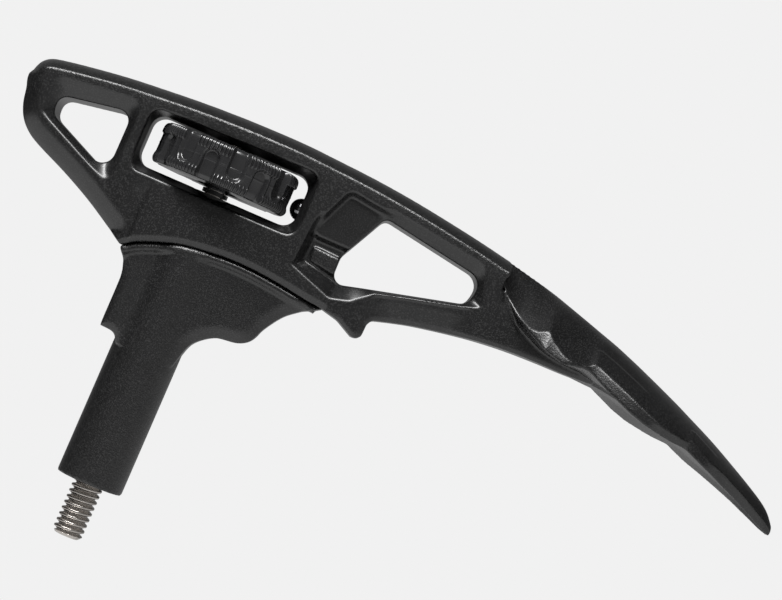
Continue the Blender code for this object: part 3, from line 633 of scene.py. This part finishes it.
def stud_rod():
    """Drive rod with a true helical thread on its stud."""
    sides = 72
    angle = np.arange(sides) * 2 * math.pi / sides
    rings = []
    for z in np.arange(0.0, STUD_LENGTH + 0.01, THREAD_PITCH / 20):
        phase = np.mod(z / THREAD_PITCH - angle / (2 * math.pi), 1.0)
        height = step_up(1.25 - 2.6 * np.abs(phase - 0.5), 0.0, 1.0)
        reach = THREAD_MINOR_R + (THREAD_MAJOR_R - THREAD_MINOR_R) * height
        reach = np.minimum(reach, STUD_TIP_R + z * 0.9)
        rings.append([(r * math.cos(a), r * math.sin(a), float(z)) for r, a in zip(reach, angle)])
    profile = [(2.4, 11.75), (2.4, 12.6), (2.75, 13.4), (2.75, 73.7), (2.1, 73.9), (2.1, 77.0),
               (1.9, 77.1), (1.9, 83.8), (1.6, 84.0), (1.6, 84.7), (1.8, 84.75), (1.8, 88.9),
               (1.5, 89.2)]
    for radius, z in profile:
        rings.append([(radius * math.cos(a), radius * math.sin(a), z) for a in angle])
    rod = loft("stud_rod", rings)
    rod.data.shade_smooth()
    rod.data.set_sharp_from_angle(angle=math.radians(40))
    return rod


# ---------------------------------------------------------------- materials

def new_material(name):
    """Empty node material: returns it, its nodes, its links and the shader."""
    made = bpy.data.materials.new(name)
    made.use_nodes = True
    tree = made.node_tree
    return made, tree.nodes, tree.links, tree.nodes["Principled BSDF"]


def noise(nodes, links, coords, scale, detail=2.0, rough=0.5):
    """Noise texture on object coordinates."""
    made = nodes.new("ShaderNodeTexNoise")
    made.inputs["Scale"].default_value = scale
    made.inputs["Detail"].default_value = detail
    made.inputs["Roughness"].default_value = rough
    links.new(coords, made.inputs["Vector"])
    return made.outputs["Fac"]


def remap(nodes, links, value, low, high, to_low, to_high, smooth=False):
    """Map a value's range to another."""
    made = nodes.new("ShaderNodeMapRange")
    made.interpolation_type = "SMOOTHSTEP" if smooth else "LINEAR"
    made.inputs["From Min"].default_value = low
    made.inputs["From Max"].default_value = high
    made.inputs["To Min"].default_value = to_low
    made.inputs["To Max"].default_value = to_high
    links.new(value, made.inputs["Value"])
    return made.outputs["Result"]


def nylon_material(name, dark, light, rough_low, rough_high, grain):
    """Moulded glass-filled nylon: spark-eroded grain, faint mottling and small glints."""
    made, nodes, links, shader = new_material(name)
    coords = nodes.new("ShaderNodeTexCoord").outputs["Object"]
    mottle = noise(nodes, links, coords, 160.0, 3.0)
    fine = noise(nodes, links, coords, 3400.0, 1.0)
    ramp = nodes.new("ShaderNodeMix")
    ramp.data_type = "RGBA"
    ramp.inputs["A"].default_value = (*dark, 1)
    ramp.inputs["B"].default_value = (*light, 1)
    links.new(remap(nodes, links, mottle, 0.3, 0.7, 0.0, 1.0), ramp.inputs["Factor"])
    flecks = noise(nodes, links, coords, 4200.0, 0.0)
    fleck = nodes.new("ShaderNodeMix")
    fleck.data_type = "RGBA"
    fleck.inputs["B"].default_value = (FLECK, FLECK, FLECK, 1)
    links.new(ramp.outputs["Result"], fleck.inputs["A"])
    links.new(remap(nodes, links, flecks, 0.5, 0.75, 0.0, grain), fleck.inputs["Factor"])
    links.new(fleck.outputs["Result"], shader.inputs["Base Color"])
    mask = nodes.new("ShaderNodeAttribute")
    mask.attribute_name = "grain"
    links.new(remap(nodes, links, mask.outputs["Fac"], 0.0, 1.0, rough_high, rough_low),
              shader.inputs["Roughness"])
    bump = nodes.new("ShaderNodeBump")
    bump.inputs["Distance"].default_value = 0.00008
    links.new(remap(nodes, links, mask.outputs["Fac"], 0.0, 1.0, 0.12 * grain, grain),
              bump.inputs["Strength"])
    links.new(fine, bump.inputs["Height"])
    links.new(bump.outputs["Normal"], shader.inputs["Normal"])
    shader.inputs["IOR"].default_value = 1.5
    return made


def metal_material(name, dark, light, roughness, turning=0.0):
    """Turned or drawn metal with fine lines round its axis."""
    made, nodes, links, shader = new_material(name)
    coords = nodes.new("ShaderNodeTexCoord").outputs["Object"]
    stretch = nodes.new("ShaderNodeMapping")
    stretch.inputs["Scale"].default_value = (1.0, 1.0, 30.0)
    links.new(coords, stretch.inputs["Vector"])
    lines = noise(nodes, links, stretch.outputs["Vector"], 260.0, 3.0)
    tint = nodes.new("ShaderNodeMix")
    tint.data_type = "RGBA"
    tint.inputs["A"].default_value = (*dark, 1)
    tint.inputs["B"].default_value = (*light, 1)
    links.new(remap(nodes, links, lines, 0.3, 0.7, 0.0, 1.0), tint.inputs["Factor"])
    links.new(tint.outputs["Result"], shader.inputs["Base Color"])
    links.new(remap(nodes, links, lines, 0.3, 0.7, roughness * 0.8, roughness * 1.3),
              shader.inputs["Roughness"])
    shader.inputs["Metallic"].default_value = 1.0
    if turning:
        bump = nodes.new("ShaderNodeBump")
        bump.inputs["Strength"].default_value = turning
        bump.inputs["Distance"].default_value = 0.00002
        links.new(lines, bump.inputs["Height"])
        links.new(bump.outputs["Normal"], shader.inputs["Normal"])
    return made


# ---------------------------------------------------------------- camera, light and floor

def set_camera():
    """Camera at the object's side, rolled so that the beam falls to the right."""
    eye, aim = Vector(CAMERA_EYE) * MM, Vector(CAMERA_AIM) * MM
    data = bpy.data.cameras.new("camera")
    data.lens = CAMERA_LENS
    data.sensor_width = 36.0
    data.clip_start = 0.01
    data.clip_end = 20.0
    camera = bpy.data.objects.new("camera", data)
    bpy.context.scene.collection.objects.link(camera)
    turn = (aim - eye).to_track_quat("-Z", "Y").to_matrix().to_4x4()
    roll = Matrix.Rotation(math.radians(CAMERA_ROLL_DEG), 4, "Z")
    camera.matrix_world = Matrix.Translation(eye) @ turn @ roll
    bpy.context.scene.camera = camera
    return camera


def area_light(name, camera, right, up, towards, size, power, aim=(0.04, 0.0, 0.07)):
    """Soft box placed by the camera's own directions from the aim point, in metres."""
    basis = camera.matrix_world.to_3x3()
    spot = Vector(aim) + basis @ Vector((right, up, towards))
    data = bpy.data.lights.new(name, "AREA")
    data.shape = "RECTANGLE"
    data.size, data.size_y = size
    data.energy = power
    light = bpy.data.objects.new(name, data)
    bpy.context.scene.collection.objects.link(light)
    light.rotation_euler = (Vector(aim) - spot).to_track_quat("-Z", "Y").to_euler()
    light.location = spot
    return light


def set_world(camera):
    """Studio surroundings: bright below, faint behind and in front, plain pale to the camera."""
    world = bpy.data.worlds.new("studio")
    world.use_nodes = True
    nodes, links = world.node_tree.nodes, world.node_tree.links
    background = nodes["Background"]
    path = nodes.new("ShaderNodeLightPath")
    coords = nodes.new("ShaderNodeTexCoord").outputs["Generated"]
    basis = camera.matrix_world.to_3x3()
    up, back = basis @ Vector((0, 1, 0)), basis @ Vector((0, 0, -1))
    behind = basis @ Vector(BEHIND_DIRECTION).normalized()

    def lobe(direction, low, high, gain):
        dot = nodes.new("ShaderNodeVectorMath")
        dot.operation = "DOT_PRODUCT"
        links.new(coords, dot.inputs[0])
        dot.inputs[1].default_value = direction
        return remap(nodes, links, dot.outputs["Value"], low, high, 0.0, gain, smooth=True)

    total = lobe(-up, -0.1, 0.9, WORLD_BELOW)
    for part in (lobe(behind, 0.65, 1.0, WORLD_BEHIND), lobe(-back, 0.2, 1.0, WORLD_FRONT),
                 lobe(-up, -3.0, -2.0, WORLD_BASE)):
        add = nodes.new("ShaderNodeMath")
        links.new(total, add.inputs[0])
        links.new(part, add.inputs[1])
        total = add.outputs["Value"]
    mix = nodes.new("ShaderNodeMix")
    mix.data_type = "FLOAT"
    links.new(path.outputs["Is Camera Ray"], mix.inputs["Factor"])
    links.new(total, mix.inputs["A"])
    mix.inputs["B"].default_value = BACKDROP
    links.new(mix.outputs["Result"], background.inputs["Strength"])
    background.inputs["Color"].default_value = (1.0, 1.0, 1.0, 1.0)
    bpy.context.scene.world = world


def add_floor():
    """Pale round floor under the part."""
    bm = bmesh.new()
    bmesh.ops.create_circle(bm, cap_ends=True, segments=96, radius=0.42)
    bmesh.ops.translate(bm, verts=bm.verts, vec=(0.04, 0.0, -0.10))
    floor = finish_mesh("floor", bm)
    made, nodes, links, shader = new_material("pale_floor")
    shader.inputs["Base Color"].default_value = (0.8, 0.8, 0.8, 1.0)
    shader.inputs["Roughness"].default_value = 0.8
    floor.data.materials.append(made)


# ---------------------------------------------------------------- assembly

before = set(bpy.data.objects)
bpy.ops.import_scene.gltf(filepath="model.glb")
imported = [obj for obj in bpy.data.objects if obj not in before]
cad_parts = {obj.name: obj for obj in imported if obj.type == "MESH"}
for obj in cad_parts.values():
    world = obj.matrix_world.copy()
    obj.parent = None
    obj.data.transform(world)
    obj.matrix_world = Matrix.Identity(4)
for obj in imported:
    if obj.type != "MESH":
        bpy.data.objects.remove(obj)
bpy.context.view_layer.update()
camera = set_camera()
bpy.context.scene.view_settings.view_transform = "Standard"

nylon = nylon_material("black_nylon", (0.0025, 0.0025, 0.0026), (0.0045, 0.0045, 0.0047), 0.33,
                       0.31, 0.9)
wheel_nylon = nylon_material("wheel_nylon", (0.012, 0.012, 0.0125), (0.015, 0.015, 0.0155), 0.20,
                             0.22, 0.1)
stainless = metal_material("stainless", (0.36, 0.34, 0.32), (0.47, 0.44, 0.41), 0.26, 0.3)
dark_steel = metal_material("dark_steel", (0.06, 0.06, 0.063), (0.10, 0.10, 0.104), 0.2, 0.15)
spring_steel = metal_material("spring_steel", (0.38, 0.38, 0.40), (0.48, 0.48, 0.50), 0.28, 0.2)
ball_steel = metal_material("ball_steel", (0.15, 0.15, 0.155), (0.21, 0.21, 0.215), 0.13)
acetal = nylon_material("bush_acetal", (0.008, 0.008, 0.008), (0.011, 0.011, 0.011), 0.3, 0.34, 0.2)


def place(piece, body, node, look):
    """Give a new piece its material and body, and hide the frame node it replaces."""
    piece.data.materials.clear()
    piece.data.materials.append(look)
    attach(piece, body)
    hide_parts(node)


place(head_shell(), "head", "head_frame", nylon)
place(adapter_shell(), "head", "pole_adapter", nylon)
place(thumbwheel_grip(), "spindle", "thumbwheel", wheel_nylon)
place(stud_rod(), "spindle", "drive_rod", stainless)

KEPT = {"core_tube": dark_steel, "upper_bush": acetal, "sleeve_bush": acetal, "pivot_bush": acetal,
        "detent_screw": dark_steel, "detent_spring": spring_steel, "dowel_left": dark_steel,
        "dowel_right": dark_steel, "wheel_insert": dark_steel, "retaining_ring": spring_steel,
        "spacer": acetal, "detent_ball": ball_steel}
for node_name, look in KEPT.items():
    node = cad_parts[node_name]
    for slot_index in range(max(1, len(node.material_slots))):
        if node.material_slots:
            node.material_slots[slot_index].material = look
        else:
            node.data.materials.append(look)

set_world(camera)
add_floor()
area_light("key_strip", camera, 0.01, 0.46, 0.30, (0.60, 0.10), KEY_POWER)
